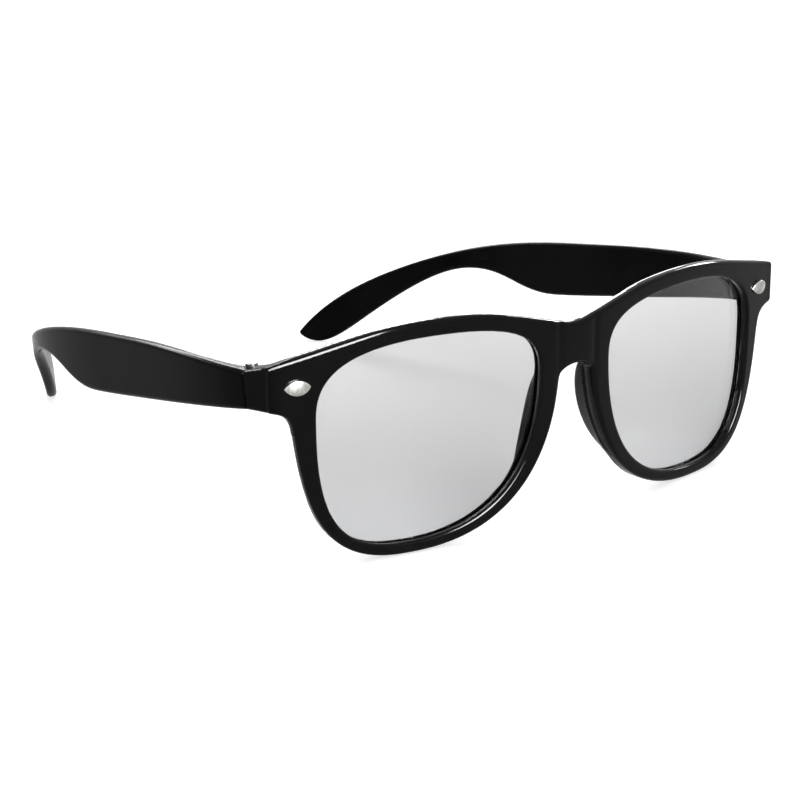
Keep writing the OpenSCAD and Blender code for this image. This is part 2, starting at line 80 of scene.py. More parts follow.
# %% Sizes of the nose pads, temples, hinges and studs
PAD_REACH, PAD_H, PAD_DROP, PAD_SPLAY = 2.9, 23.0, 1.5, 14.0
PAD_ROOT, PAD_EDGE = -0.6, 0.2
TEMPLE_REACH, TEMPLE_SLOPE, TEMPLE_T = 140.0, 8.0, 2.5
ROOT_T, ROOT_RUN, ROOT_UP, ROOT_DOWN = 4.1, 20.0, 3.8, 4.2
BLADE_UP, BLADE_DOWN = 6.7, 7.0
NOTCH_FROM_TIP, NOTCH_DOWN = 47.0, 1.0
TIP_DROP, TIP_REST_DROP, TIP_REST_FROM_TIP = 17.0, 20.2, 4.0
TEMPLE_BULGE, BEND_START_IN, BEND_MID_IN, TIP_IN = 0.9, 1.7, 18.7, 30.0
PIN_INSET, PIN_SETBACK, HINGE_DROP = 3.5, 1.6, 1.6
KNUCKLE_R, TURN_GAP, JOINT_GAP, SEAT_GAP = 1.5, 0.15, 0.1, 0.02
LEAF_H, LEAF_T, FRONT_LEAF_L = 6.6, 1.0, 6.2
STUD_L, STUD_H, STUD_RISE, STUD_EDGE, STUD_FROM_CORNER = 5.8, 3.1, 0.9, 0.25, 5.8
SHANK_R, SHANK_L, STUD_ROUND = 0.6, 2.4, 0.1
MM = 0.001

# %% [markdown]
# ## Where things lie
# Seen from above, the face of the front is three arcs: a tight one over the bridge and a
# nearly flat one across each lens. From them follow the end piece's corner and the hinge
# pin. The whole pair then leans by a fraction of a degree, because it stands on its rims
# and on the tips of its temples. One matrix holds that lean and the change to metres.

# %% Derived places
bridge_turn = math.asin(BRIDGE_W / 2 / BRIDGE_R)
half_turn = math.asin(LENS_W / 2 / FACE_R)
lens_turn = bridge_turn + half_turn
arc_centre = np.array([(BRIDGE_R - FACE_R) * math.sin(bridge_turn),
                       BRIDGE_R + (FACE_R - BRIDGE_R) * math.cos(bridge_turn)])
lens_z = -LENS_DROP
lens_top = lens_z + LENS_H / 2
lens_bottom = lens_z - LENS_H / 2


def arc_point(turn, depth):
    radius = FACE_R - depth
    return np.array([arc_centre[0] + radius * math.sin(turn), arc_centre[1] - radius * math.cos(turn)])


end_x = arc_point(lens_turn + half_turn, 0)[0] + END_REACH
end_y = arc_point(math.asin((end_x - arc_centre[0]) / FACE_R), 0)[1]
joint_x = end_x + END_FLARE
wall_x = joint_x - WING_T
pin = np.array([joint_x - PIN_INSET, end_y + END_DEPTH, -HINGE_DROP])
slope_cos = math.cos(math.radians(TEMPLE_SLOPE))
slope_sin = math.sin(math.radians(TEMPLE_SLOPE))
print("hinge pin, mm:", pin.round(3))

# %% [markdown]
# ## Smooth lines
# Plastic frames are cut from a pattern of flowing lines. Each line here is a chain of
# nodes: a point, a heading and how far the curve reaches before and after it. Two
# neighbouring nodes are joined by one cubic curve, which is how a drawing program's pen
# tool works. A line may also be moved sideways by a changing width, which makes a rim.


# %% Chains of curves
def ahead(node, reach):
    heading = math.radians(node[2])
    return np.array([node[0] + reach * math.cos(heading), node[1] + reach * math.sin(heading)])


def chain(nodes, widths=None, fades=None, steps=110):
    """Points along the chain, moved to the left of its way by widths that fade between nodes."""
    points = []
    t = np.linspace(0, 1, steps, endpoint=False)[:, None]
    for i in range(len(nodes) - 1):
        a, b = nodes[i], nodes[i + 1]
        p0, p1, p2, p3 = ahead(a, 0), ahead(a, a[4]), ahead(b, -b[3]), ahead(b, 0)
        line = p0 * (1 - t) ** 3 + 3 * p1 * (1 - t) ** 2 * t + 3 * p2 * (1 - t) * t ** 2 + p3 * t ** 3
        if widths is not None:
            way = 3 * (p1 - p0) * (1 - t) ** 2 + 6 * (p2 - p1) * (1 - t) * t + 3 * (p3 - p2) * t ** 2
            left = np.stack([-way[:, 1], way[:, 0]], 1) / np.linalg.norm(way, axis=1)[:, None]
            fade = fades[i]
            share = (1 - t) ** fade if fade > 0 else 1 - t ** -fade
            line = line + left * (widths[i + 1] + (widths[i] - widths[i + 1]) * share)
        points.append(line)
    return np.concatenate(points)


# %% Outlines of the lens opening, the rim and the bar
ARCH_PAST, ARCH_FALL, UNDER_PAST, UNDER_FALL = 0.1, 2.1, 0.1, 5.6  # ends of the arch and the fillet
END_PAST, END_FALL, MIDDLE_PAST = 6, 1.2, 3.0  # the bar is drawn longer here and cut off later
HIDDEN_END, HIDDEN_ARCH, HIDDEN_SIDE = 1.8, 3, 0.8  # in these corners the rim covers the bar
# Each node: across, up, heading in degrees, reach before it and after it.
lens_nodes = [
    ((LENS_TOP_AT - 0.5) * LENS_W, LENS_H / 2, 0, 0.4 * LENS_W, 0.53 * LENS_W),
    (LENS_W / 2, (0.5 - LENS_SIDE_AT) * LENS_H, -90, 0.12 * LENS_H, 0.42 * LENS_H),
    ((LENS_BOTTOM_AT - 0.5) * LENS_W, -LENS_H / 2, 180, 0.3 * LENS_W, 0.11 * LENS_W),
    (-LENS_W / 2, (0.5 - LENS_NOSE_AT) * LENS_H, 90, 0.77 * LENS_H, 0.16 * LENS_H),
    ((LENS_TOP_AT - 0.5) * LENS_W, LENS_H / 2, 0, 0.4 * LENS_W, 0),
]
opening_line = chain(lens_nodes)
rim_line = chain(lens_nodes, [RIM_TOP, RIM_SIDE, RIM_BOTTOM, RIM_NOSE, RIM_TOP], [-3, 3, -3, 3])
arch_x, arch_z = BRIDGE_W / 2 - RIM_NOSE + ARCH_PAST, -ARCH_DROP - ARCH_FALL
rim_side_x = end_x - END_REACH + RIM_SIDE
under_x, under_z = rim_side_x - UNDER_PAST, -END_BOTTOM - UNDER_FALL
brow = chain([(0, BRIDGE_TOP, 0, 0, 5.6),
              (BROW_PEAK_AT * end_x, lens_top + RIM_TOP, 0, 15, 15),
              (end_x, END_TOP, -BROW_ANGLE, 20.5, 0)])
arch = chain([(0, -ARCH_DROP, 0, 0, 2), (arch_x, arch_z, -82, 1.2, 0)])
under = chain([(end_x, -END_BOTTOM, -168, 0, 3.4), (under_x, under_z, -91, 4.2, 0)])
bar_line = np.array(
    [*brow, (end_x, END_TOP), (end_x + END_PAST, END_TOP - END_FALL), (end_x + END_PAST, -END_BOTTOM),
     *under, (under_x, under_z), (end_x - END_REACH, -END_BOTTOM - HIDDEN_END),
     (BRIDGE_W / 2, arch_z - HIDDEN_ARCH), (arch_x + HIDDEN_SIDE, arch_z - HIDDEN_ARCH),
     (arch_x, arch_z), *arch[::-1], (-MIDDLE_PAST, -ARCH_DROP), (-MIDDLE_PAST, BRIDGE_TOP)])
print("points on the rim's outline:", len(rim_line), "and on the bar's:", len(bar_line))

# %% [markdown]
# ## Plastic as a field of distances
# The front is one moulding: a bar, two rims, two end pieces and two nose pads that flow
# into each other, every edge rounded by the mould and by tumbling. Bevels on a faceted
# solid break where such forms meet. A distance field does not: every point in space gets
# its distance to the surface, minus inside and plus outside. Joining is then the least of
# two distances, cutting is the greatest, and a rounded edge is a small change of that rule.


# %% Distance to an outline, tabled
class Chart:
    """Signed distance to a closed outline, kept in a table of small squares."""

    def __init__(self, outline, pitch=0.12, margin=2.5):
        self.low = outline.min(0) - margin
        self.pitch = pitch
        self.shape = np.ceil((outline.max(0) + margin - self.low) / pitch).astype(int) + 1
        a, b = outline, np.roll(outline, -1, axis=0)
        keep = np.linalg.norm(b - a, axis=1) > 1e-9
        a, b = a[keep], b[keep]
        step = b - a
        length2 = (step ** 2).sum(1)
        rows = self.low[0] + pitch * np.arange(self.shape[0])
        v = self.low[1] + pitch * np.arange(self.shape[1])
        self.table = np.empty(self.shape)
        for i, u in enumerate(rows):
            du, dv = u - a[:, 0][:, None], v[None, :] - a[:, 1][:, None]
            t = np.clip((du * step[:, 0][:, None] + dv * step[:, 1][:, None]) / length2[:, None], 0, 1)
            gap = (du - t * step[:, 0][:, None]) ** 2 + (dv - t * step[:, 1][:, None]) ** 2
            crossed = (a[:, 0] > u) != (b[:, 0] > u)
            at = a[crossed, 1] + (u - a[crossed, 0]) * step[crossed, 1] / step[crossed, 0]
            inside = (v[None, :] < at[:, None]).sum(0) % 2 == 1
            self.table[i] = np.sqrt(gap.min(0)) * np.where(inside, -1, 1)

    def __call__(self, u, v):
        s, t = (u - self.low[0]) / self.pitch, (v - self.low[1]) / self.pitch
        sc, tc = np.clip(s, 0, self.shape[0] - 1.001), np.clip(t, 0, self.shape[1] - 1.001)
        i, j = sc.astype(int), tc.astype(int)
        fs, ft = sc - i, tc - j
        near = self.table[i, j] * (1 - ft) + self.table[i, j + 1] * ft
        far = self.table[i + 1, j] * (1 - ft) + self.table[i + 1, j + 1] * ft
        return near * (1 - fs) + far * fs + np.hypot(s - sc, t - tc) * self.pitch


def rounded_and(a, b, r):
    """What lies in both a and b, with the edge between them rounded to radius r."""
    p, q = a + r, b + r
    return np.minimum(np.maximum(p, q), 0) + np.hypot(np.maximum(p, 0), np.maximum(q, 0)) - r


def blended_or(a, b, k):
    """What lies in a or b, with a soft fillet of about k between them."""
    h = np.clip(0.5 + 0.5 * (b - a) / k, 0, 1)
    return b + (a - b) * h - k * h * (1 - h)


opening_chart = Chart(opening_line)
rim_chart = Chart(rim_line)
bar_chart = Chart(bar_line)
print("charts:", opening_chart.shape, rim_chart.shape, bar_chart.shape)

# %% [markdown]
# ## The front's field
# The edges of the face are rounded to just under a millimetre and the outer back edge much
# more, except at the bottom, where the rim is thin. The edge behind the lens stays crisp. A
# lip narrows each opening towards the face, and a groove runs round inside. Each end piece
# turns the corner into a side wall, which is cut off square where the temple meets it and
# has a pocket for the hinge. The nose pads are part of the moulding and lean in behind.

# %% Sizes of the front's edges
FACE_ROUND, BACK_ROUND, JOINT_ROUND, PAD_ROUND, CORNER_ROUND = 0.85, 0.3, 0.22, 1.3, 1.15
REAR_ROUND, LOW_REAR_ROUND, REAR_FADE_FROM, REAR_FADE = 2.8, 1.5, -22.0, 12.0
CORNER_FROM, OPENING_LIP, PAD_BLEND = -2.0, 0.35, 0.9
SIDE_JOIN, ARCH_JOIN_FROM, ARCH_JOIN = 5.6, -3.2, 3.1
BRIDGE_DIP_AT, BRIDGE_DIP_RUN, BRIDGE_DIP = 4.9, 0.9, 0.15
END_FADE_FROM, END_FADE_TO, END_LIFT = 50.0, 67.0, 2.6
WING_FROM, WING_PAST_PIN, WING_FALL, WING_INSET, FILLET_INSET = 63.0, 8.0, 0.102, 0.15, 0.1
slope_y, brow_turn = math.radians(-END_ANGLE), math.radians(BROW_ANGLE)
end_plane = np.array([math.cos(slope_y) * math.sin(brow_turn), -math.sin(slope_y),
                      math.cos(slope_y) * math.cos(brow_turn)])
back_y = arc_point(math.asin((wall_x - arc_centre[0]) / FACE_R), FRAME_T)[1]


# %% Plan of the end piece
def face_y(x):
    return arc_centre[1] - math.sqrt(FACE_R ** 2 - (x - arc_centre[0]) ** 2)


def wing_plan():
    """Seen from above, the end piece's corner and side wall."""
    face = [(x, face_y(x)) for x in np.linspace(WING_FROM, end_x - CORNER_ROUND, 14)]
    turn = math.degrees(math.asin((end_x - arc_centre[0]) / FACE_R)) - 90
    corner = [(end_x - CORNER_ROUND * (1 - math.cos(math.radians(a))),
               end_y + CORNER_ROUND * (1 + math.sin(math.radians(a))) - WING_INSET)
              for a in np.linspace(turn, 5, 10)]
    inner = [(wall_x - CORNER_FILLET * (1 - math.cos(math.radians(a))),
              back_y + CORNER_FILLET * (1 - math.sin(math.radians(a))) - FILLET_INSET)
             for a in np.linspace(0, 90, 10)]
    last_y = pin[1] + WING_PAST_PIN
    return np.array([*face, *corner, (joint_x, pin[1]), (joint_x, last_y), (wall_x, last_y),
                     *inner, (WING_FROM, back_y - 3)])


wing_chart = Chart(wing_plan())


# %% Frames of the hinge and of the lens
def hinge_frame(y, z):
    """Along the temple and up the hinge pin, from the pin's middle."""
    dy, dz = y - pin[1], z - pin[2]
    return dy * slope_cos - dz * slope_sin, dy * slope_sin + dz * slope_cos


def lens_frame(x, y, z):
    """Across the lens, behind the face and up, from the middle of the lens."""
    c, s = math.cos(lens_turn), math.sin(lens_turn)
    dx, dy = x - arc_centre[0], y - arc_centre[1]
    return dx * c + dy * s, -dx * s + dy * c + FACE_R, z - lens_z


# %% Fields of the front's parts
def pad_field(u, depth, v):
    """A nose pad: a leaning dome behind the rim, trimmed to the rim's width."""
    c, s = math.cos(math.radians(PAD_SPLAY)), math.sin(math.radians(PAD_SPLAY))
    a, b = u + LENS_W / 2, depth - FRAME_T
    across, out = c * a - s * b, s * a + c * b
    ring = np.maximum(rim_chart(across - LENS_W / 2, v),
                      PAD_EDGE - opening_chart(across - LENS_W / 2, v))
    swell = PAD_REACH + FACE_R - math.sqrt(FACE_R ** 2 - (LENS_W / 2) ** 2)
    dome = (np.hypot(out / swell, (v + PAD_DROP) / (PAD_H / 2)) - 1) * swell
    pad = rounded_and(ring, dome, PAD_ROUND)
    return np.maximum(pad, np.maximum(PAD_ROOT - out, across - LENS_W / 5))


def eased(share):
    """Holds a share between 0 and 1 and smooths its start and its end."""
    share = np.clip(share, 0, 1)
    return share * share * (3 - 2 * share)


def plate_field(x, z, w, outside, opening):
    """The bar and the rim between face and back, with every edge as the mould leaves it."""
    dip = BRIDGE_DIP * np.exp(-((x - BRIDGE_DIP_AT) / BRIDGE_DIP_RUN) ** 2)
    edge = opening + OPENING_LIP * np.clip(1 - w / LENS_INSET, 0, 1)
    seen = np.maximum(outside, -edge)
    fading = eased((REAR_FADE_FROM - z) / REAR_FADE)
    rear = rounded_and(outside, w - FRAME_T, REAR_ROUND + (LOW_REAR_ROUND - REAR_ROUND) * fading)
    plate = np.maximum(rounded_and(seen, dip - w, FACE_ROUND), rounded_and(-edge, rear, BACK_ROUND))
    # Only the lower corner of the end piece is rounded towards the side.
    lower = np.where(z < CORNER_FROM, outside, -END_BOTTOM)
    return np.maximum(plate, rounded_and(lower, x - end_x, FACE_ROUND))


def wing_field(x, y, z, along, plane):
    """The side wall that carries the hinge, with a sloped top and an underside that falls."""
    low = -END_BOTTOM - np.maximum(y - end_y, 0) * WING_FALL
    brow_side = np.where(z > 0, bar_chart(x, z), -END_TOP)
    wing = rounded_and(wing_chart(x, y), np.maximum.reduce([low - z, plane, brow_side]), FACE_ROUND)
    return rounded_and(wing, along + PIN_SETBACK, JOINT_ROUND)


# %% Field of the front
def front_field(x, y, z):
    """The whole moulding, minus the lens grooves, the hinge pockets and the seats of the leaves."""
    x = np.abs(x)
    on_bridge = np.arctan2(x, BRIDGE_R - y) < bridge_turn
    # How far a point lies behind the face, w, and across, behind and above the lens's middle.
    w = np.where(on_bridge, BRIDGE_R - np.hypot(x, y - BRIDGE_R),
                 FACE_R - np.hypot(x - arc_centre[0], y - arc_centre[1]))
    u, depth, v = lens_frame(x, y, z)
    opening = opening_chart(u, v)
    plane = (x - end_x) * end_plane[0] + (y - end_y) * end_plane[1] + (z - END_TOP) * end_plane[2]
    fade = np.clip((END_FADE_TO - x) / (END_FADE_TO - END_FADE_FROM), 0, 1)
    plane = plane - END_LIFT * fade ** 2
    # The bar's walls run straight back and the rim's at right angles to the lens. Where the
    # bar passes into the rim, below the end piece and beside the arch, one turns into the other.
    joined = eased(np.where(x > LENS_W / 2, (-END_BOTTOM - z) / SIDE_JOIN,
                            (ARCH_JOIN_FROM - z) / ARCH_JOIN))
    sheared_x = x + math.tan(lens_turn) * np.clip(w, 0, FRAME_T) * joined
    outside = np.maximum(np.minimum(rim_chart(u, v), bar_chart(sheared_x, z)), plane)
    along, up = hinge_frame(y, z)
    solid = np.minimum(plate_field(x, z, w, outside, opening), wing_field(x, y, z, along, plane))
    solid = blended_or(solid, pad_field(u, depth, v), PAD_BLEND)
    pocket = np.hypot(x - pin[0], along) - KNUCKLE_R - TURN_GAP
    leaf = np.maximum.reduce([x - pin[0] - PIN_INSET + WING_T - LEAF_T - SEAT_GAP, wall_x - 2 - x,
                              -FRONT_LEAF_L - SEAT_GAP - along, np.abs(up) - LEAF_H / 2 - SEAT_GAP])
    groove = np.maximum(opening - GROOVE - SEAT_GAP,
                        np.abs(w - LENS_INSET - LENS_T / 2) - LENS_T / 2 - SEAT_GAP)
    return np.maximum.reduce([solid, -groove, -pocket, -leaf])


# %% [markdown]
# ## From a field to a mesh
# The surface runs wherever the field changes sign. A grid of small cells is laid over the
# space, each cell that the surface passes gets one point, and neighbouring points are
# joined in fours. Then every point slides along the field's slope until it lies exactly
# on the surface, so a coarse grid still gives a smooth, glossy skin.


# %% Grid over a field
LEVEL_SHIFT = 0.002  # of a cell, so that no grid point lies on the surface
SLIDES, SLOPE_STEP, SLIDE_STEP, SLIDE_REACH, LEAST_SLOPE = 4, 0.05, 0.3, 0.8, 0.2
ROWS_AT_ONCE = 24


def slope_of(field, points, h):
    """How fast the field grows along each axis, measured over a small step."""
    return np.stack([(field(*(points + h * e).T) - field(*(points - h * e).T)) / (2 * h)
                     for e in np.eye(3)], 1)


def sampled(field, low, counts, pitch):
    """The field's value at every grid point."""
    axes = [low[i] + pitch * np.arange(counts[i]) for i in range(3)]
    value = np.empty(counts)
    for start in range(0, counts[0], ROWS_AT_ONCE):
        part = np.meshgrid(axes[0][start:start + ROWS_AT_ONCE], axes[1], axes[2], indexing="ij")
        value[start:start + ROWS_AT_ONCE] = field(*part) + LEVEL_SHIFT * pitch
    return value


def one_step_apart(axis, ranges):
    """Two index sets for a grid, the second one step further along the axis."""
    here, there = list(ranges), list(ranges)
    here[axis], there[axis] = slice(0, -1), slice(1, None)
    return tuple(here), tuple(there)


# %% Points and faces of the grid
def cell_points(value):
    """One point in each cell that the surface passes: the mean of where it cuts the edges."""
    inside, counts = value < 0, value.shape
    cells = tuple(n - 1 for n in counts)
    total, hits = np.zeros((*cells, 3)), np.zeros(cells)
    for axis in range(3):
        a, b = one_step_apart(axis, [slice(None)] * 3)
        cross = inside[a] != inside[b]
        share = np.where(cross, value[a] / np.where(cross, value[a] - value[b], 1), 0)
        one, two = [k for k in range(3) if k != axis]
        for i in (0, 1):
            for j in (0, 1):
                s = [slice(None)] * 3
                s[one], s[two] = slice(i, counts[one] - 1 + i), slice(j, counts[two] - 1 + j)
                hit = cross[tuple(s)]
                hits += hit
                total[..., axis] += share[tuple(s)] * hit
                total[..., one] += i * hit
                total[..., two] += j * hit
    passed = np.argwhere(hits > 0)
    number = np.full(cells, -1)
    number[tuple(passed.T)] = np.arange(len(passed))
    return passed + total[tuple(passed.T)] / hits[tuple(passed.T)][:, None], number


def joined_quads(value, number):
    """A face across each grid edge that the surface cuts, from the four cells round it."""
    inside, quads = value < 0, []
    inner = [slice(1, n - 1) for n in value.shape]
    for axis in range(3):
        one, two = [k for k in range(3) if k != axis]
        a, b = one_step_apart(axis, inner)
        enter, leave = inside[a] & ~inside[b], ~inside[a] & inside[b]
        offset = np.array([1 if k != axis else 0 for k in range(3)])
        for marks, flip in ((enter, axis == 1), (leave, axis != 1)):
            at = np.argwhere(marks) + offset
            ring = []
            for i, j in ((1, 1), (0, 1), (0, 0), (1, 0)):
                cell = at.copy()
                cell[:, one] -= i
                cell[:, two] -= j
                ring.append(number[tuple(cell.T)])
            ring = np.stack(ring, 1)
            quads.append(ring[:, ::-1] if flip else ring)
    return np.concatenate(quads)


# %% Mesh of a field
def skin(field, low, high, pitch):
    """Points, faces and slopes of the field's surface within a box."""
    low, high = np.array(low, float), np.array(high, float)
    counts = np.ceil((high - low) / pitch).astype(int) + 1
    value = sampled(field, low, counts, pitch)
    places, number = cell_points(value)
    points = low + places * pitch
    h, start = pitch * SLOPE_STEP, points.copy()
    for _ in range(SLIDES):
        slope = slope_of(field, points, h)
        move = -slope * (field(*points.T) / np.maximum((slope ** 2).sum(1), LEAST_SLOPE))[:, None]
        points = np.clip(points + np.clip(move, -SLIDE_STEP * pitch, SLIDE_STEP * pitch),
                         start - SLIDE_REACH * pitch, start + SLIDE_REACH * pitch)
    return points, joined_quads(value, number), slope_of(field, points, h)


# %% [markdown]
# ## Standing the glasses on the floor
# Everything above is drawn in the front's own frame. Before a piece becomes a Blender
# object its points are leaned back by the same fraction of a degree as the solids, set
# down on the floor and scaled to metres. The object itself then stays at the origin. The
# side view of the temple is drawn here already, since the pair stands on its tips.

# %% Lean, floor and metres
tip_along, tip_up = TEMPLE_REACH - TIP_REST_FROM_TIP, -TIP_REST_DROP
tip_y = pin[1] + tip_along * slope_cos + tip_up * slope_sin
tip_z = pin[2] - tip_along * slope_sin + tip_up * slope_cos
rim_rest_y = arc_point(lens_turn + math.asin((LENS_BOTTOM_AT - 0.5) * LENS_W / FACE_R), 0)[1]
rim_rest_z = lens_bottom - RIM_BOTTOM
lean = math.atan((rim_rest_z - tip_z) / (tip_y - rim_rest_y))
floor_z = rim_rest_y * math.sin(lean) + rim_rest_z * math.cos(lean)
# Each node: along the temple, up, heading in degrees, reach before it and after it.
temple_nodes = [
    (JOINT_GAP - PIN_SETBACK, ROOT_UP, 7, 0, 26),
    (52, BLADE_UP, 0, 12, 17),
    (TEMPLE_REACH, -TIP_DROP, -47, 34, 1.6),
    (TEMPLE_REACH - TIP_REST_FROM_TIP, -TIP_REST_DROP, 180 + TEMPLE_SLOPE, 2.6, 8),
    (TEMPLE_REACH - NOTCH_FROM_TIP, -NOTCH_DOWN, 180, 20, 12.5),
    (64, -BLADE_DOWN, 180, 13, 12),
    (JOINT_GAP - PIN_SETBACK, -ROOT_DOWN, 178, 15, 0),
]
side_line = chain(temple_nodes)
side_y = pin[1] + side_line[:, 0] * slope_cos + side_line[:, 1] * slope_sin
side_z = pin[2] - side_line[:, 0] * slope_sin + side_line[:, 1] * slope_cos
back_most = (side_y * math.cos(lean) - side_z * math.sin(lean)).max()
middle_y = (back_most - BRIDGE_TOP * math.sin(lean)) / 2
STAND = (Matrix.Scale(MM, 4) @ Matrix.Translation((0, -middle_y, -floor_z))
         @ Matrix.Rotation(lean, 4, "X"))
print("lean, degrees:", round(math.degrees(lean), 4), "floor below the studs, mm:", round(-floor_z, 3))


# %% Make a piece from a skin
def in_scene(name, data):
    """An object in the scene that shows some data."""
    thing = bpy.data.objects.new(name, data)
    bpy.context.scene.collection.objects.link(thing)
    return thing


def make_piece(name, points, faces, slopes, body, node, crisp=35):
    """A mesh object that stands for one CAD node and rides on its body.

    Corners take their normal from the field's slope, except where the face turns away from
    it by more than the crisp angle: there the edge is meant to be sharp."""
    mesh = bpy.data.meshes.new(name)
    mesh.from_pydata(points.tolist(), [], faces.tolist())
    mesh.transform(STAND)
    mesh.validate()
    mesh.shade_smooth()
    corners = np.empty(len(mesh.loops), int)
    mesh.loops.foreach_get("vertex_index", corners)
    sides = np.empty(len(mesh.polygons), int)
    mesh.polygons.foreach_get("loop_total", sides)
    flat = np.empty(3 * len(mesh.polygons))
    mesh.polygons.foreach_get("normal", flat)
    flat = np.repeat(flat.reshape(-1, 3), sides, axis=0)
    soft = slopes @ np.array(STAND.to_3x3()).T
    soft = (soft / np.maximum(np.linalg.norm(soft, axis=1), 1e-12)[:, None])[corners]
    smooth = (soft * flat).sum(1) > math.cos(math.radians(crisp))
    mesh.normals_split_custom_set(np.where(smooth[:, None], soft, flat).tolist())
    piece = in_scene(name, mesh)
    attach(piece, body)
    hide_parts(node)
    return piece


# %% [markdown]
# ## The front
# With the field written, the moulding is one call. Cells of four tenths of a millimetre
# are small enough to follow a one-millimetre edge, because the points slide onto the
# surface afterwards. The field is the same on both sides of the nose.

# %% Make the front
FRONT_LOW, FRONT_HIGH, FRONT_CELL = (-72.2, -1.2, -39.9), (72.2, 21.6, 11.2), 0.38
front_points, front_faces, front_slopes = skin(front_field, FRONT_LOW, FRONT_HIGH, FRONT_CELL)
front = make_piece("moulded_front", front_points, front_faces, front_slopes,
                   "front", "front_frame")
print("front:", len(front_points), "points", len(front_faces), "faces")

# %% [markdown]
# ## The temples
# A temple is a flat bar that follows two drawings at once. Seen from the side it swells
# to its deepest place and hooks down behind the ear, and seen from above it thins behind
# the joint and bends in round the head. The field of each drawing is tabled, and the bar
# is what lies in both, with its long edges rounded to about a millimetre.

# %% Outlines of a temple
TEMPLE_ROUND, POCKET_ROUND = 1.1, 0.15
TEMPLE_LOW, TEMPLE_HIGH, TEMPLE_CELL = (-30.6, -2.2, -21.4), (5.2, 142, 8), 0.36
plan_nodes = [
    (JOINT_GAP - PIN_SETBACK, 0, 9, 0, 6),
    (12, TEMPLE_BULGE, 0, 6, 10),
    (58, -BEND_START_IN, -3.3, 20, 40),
    (TEMPLE_REACH - 19.5, -BEND_MID_IN, -33, 17.5, 8),
    (TEMPLE_REACH, -TIP_IN, -27, 8, 3),
    (TEMPLE_REACH + 6, -TIP_IN - 3, -27, 3, 0),
]
outer_line = chain(plan_nodes)
way = np.gradient(outer_line, axis=0)
right_of = np.stack([way[:, 1], -way[:, 0]], 1) / np.linalg.norm(way, axis=1)[:, None]
bar_width = TEMPLE_T + (ROOT_T - TEMPLE_T) * np.maximum(0, 1 - outer_line[:, 0] / ROOT_RUN) ** 2
inner_line = outer_line + right_of * bar_width[:, None]
# Both outlines run on in front of the joint, where the bar is cut off square.
root = np.array([[-3.0, 0.0]])
plan_line = np.concatenate([root + (0, -0.24), outer_line, inner_line[::-1], root + (0, -4.3)])
side_end = side_line[[0, -1]] + [[-3, -0.37], [-3, 0.1]]
plan_chart = Chart(plan_line)
side_chart = Chart(np.concatenate([side_end[:1], side_line, side_end[1:]]))


# %% Field of a temple
def temple_field(x, along, up):
    """x outwards from the hinge pin, along the temple and up the pin."""
    bar = rounded_and(plan_chart(along, x - PIN_INSET), side_chart(along, up), TEMPLE_ROUND)
    bar = rounded_and(bar, JOINT_GAP - PIN_SETBACK - along, JOINT_ROUND)
    pocket = np.hypot(x, along) - KNUCKLE_R - TURN_GAP
    bar = rounded_and(bar, -pocket, POCKET_ROUND)
    return np.maximum(bar, -np.maximum(x, along))


def from_pin(along_pin):
    """Turns directions in the temple's own frame into the front's."""
    return np.stack([along_pin[:, 0], along_pin[:, 1] * slope_cos + along_pin[:, 2] * slope_sin,
                     along_pin[:, 2] * slope_cos - along_pin[:, 1] * slope_sin], 1)


# %% Make both temples
temple_points, temple_faces, temple_slopes = skin(temple_field, TEMPLE_LOW, TEMPLE_HIGH, TEMPLE_CELL)
in_front, turned_slopes = from_pin(temple_points) + pin, from_pin(temple_slopes)
left_temple = make_piece("left_temple_bar", in_front, temple_faces, turned_slopes,
                         "left_temple_arm", "left_temple")
right_temple = make_piece("right_temple_bar", in_front * [-1, 1, 1], temple_faces[:, ::-1],
                          turned_slopes * [-1, 1, 1],
                          "right_temple_arm", "right_temple")
print("temple:", len(temple_points), "points", len(temple_faces), "faces")

# %% [markdown]
# ## The studs
# Each end piece wears a small pointed oval, stamped from sheet with a domed top and held
# by a shank pressed into the plastic. The same kind of field draws it: what two leaning
# circles share, under a sphere. Its fine cells keep the dome's gleam unbroken.


# %% Field of a stud
STUD_LOW, STUD_HIGH, STUD_CELL = (-3.1, -1.7, -2.6), (3.1, 1.7, 1.1), 0.1


def stud_field(along, up, out):
    """The domed cap and its shank, along and up the end piece and out of its face."""
    side_r = (STUD_L ** 2 + STUD_H ** 2) / (4 * STUD_H)
    crown = STUD_RISE - STUD_EDGE
    dome_r = ((STUD_L / 2) ** 2 + crown ** 2) / (2 * crown)
    shift = side_r - STUD_H / 2
    oval = np.maximum(np.hypot(along, up - shift), np.hypot(along, up + shift)) - side_r
    dome = np.sqrt(along ** 2 + up ** 2 + (out - STUD_RISE + dome_r) ** 2) - dome_r
    cap = np.maximum(rounded_and(oval, dome, STUD_ROUND), SEAT_GAP - out)
    shank = np.maximum.reduce([np.hypot(along, up) - SHANK_R, out - STUD_EDGE, -SHANK_L - out])
    return np.minimum(cap, shank)


stud_turn = math.asin((end_x - STUD_FROM_CORNER - arc_centre[0]) / FACE_R)


def on_end_piece(drawn):
    """Turns directions along, up and out of the stud into the front's own frame."""
    c, s = math.cos(stud_turn), math.sin(stud_turn)
    return np.stack([c * drawn[:, 0] + s * drawn[:, 2], s * drawn[:, 0] - c * drawn[:, 2], drawn[:, 1]], 1)


# %% Make both studs
stud_points, stud_faces, stud_slopes = skin(stud_field, STUD_LOW, STUD_HIGH, STUD_CELL)
stud_place = np.array([*arc_point(stud_turn, 0), 0])
studs = []
for side, mirror in (("left", 1), ("right", -1)):
    studs.append(make_piece(side + "_oval_stud", (on_end_piece(stud_points) + stud_place) * [mirror, 1, 1],
                            stud_faces[:, ::mirror], on_end_piece(stud_slopes) * [mirror, 1, 1],
                            "front", side + "_stud"))
print("stud:", len(stud_points), "points", len(stud_faces), "faces")

